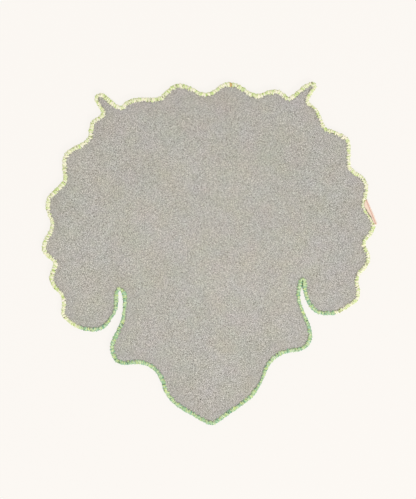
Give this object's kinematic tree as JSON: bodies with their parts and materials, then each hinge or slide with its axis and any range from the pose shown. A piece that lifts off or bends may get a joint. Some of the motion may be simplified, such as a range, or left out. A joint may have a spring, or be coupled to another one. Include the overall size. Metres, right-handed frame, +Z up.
{
  "type": "animal shaped kids rug",
  "caption": "Flat tufted floor rug cut to a horned, frilled animal's head, lying pile down: woven backing up, overcast yarn edge, small blank side tape.",
  "frame": {"origin": "middle of the rug's bounding box, on the floor under it", "axes": "+Z up from the floor through the pile to the backing cloth, +Y to the crown and horns, +X to the side that holds the tape"},
  "size_m": [0.9256, 0.9442, 0.0158],
  "materials": {
    "pile": null,
    "backing": "woven cloth of finely speckled warm grey fibres, matt",
    "frill_yarn": "thick overcast yarn, lime and cream strands, matt",
    "face_yarn": "thick overcast yarn, mint and yellow-green strands, matt",
    "tape": "narrow woven tape, pale peach with one rose stripe, no lettering"
  },
  "bodies": {
    "root": {"tufted_face": "pile", "backing_cloth": "backing", "edge_yarn_frill": "frill_yarn", "edge_yarn_face": "face_yarn", "side_tape": "tape"}
  },
  "joints": []
}
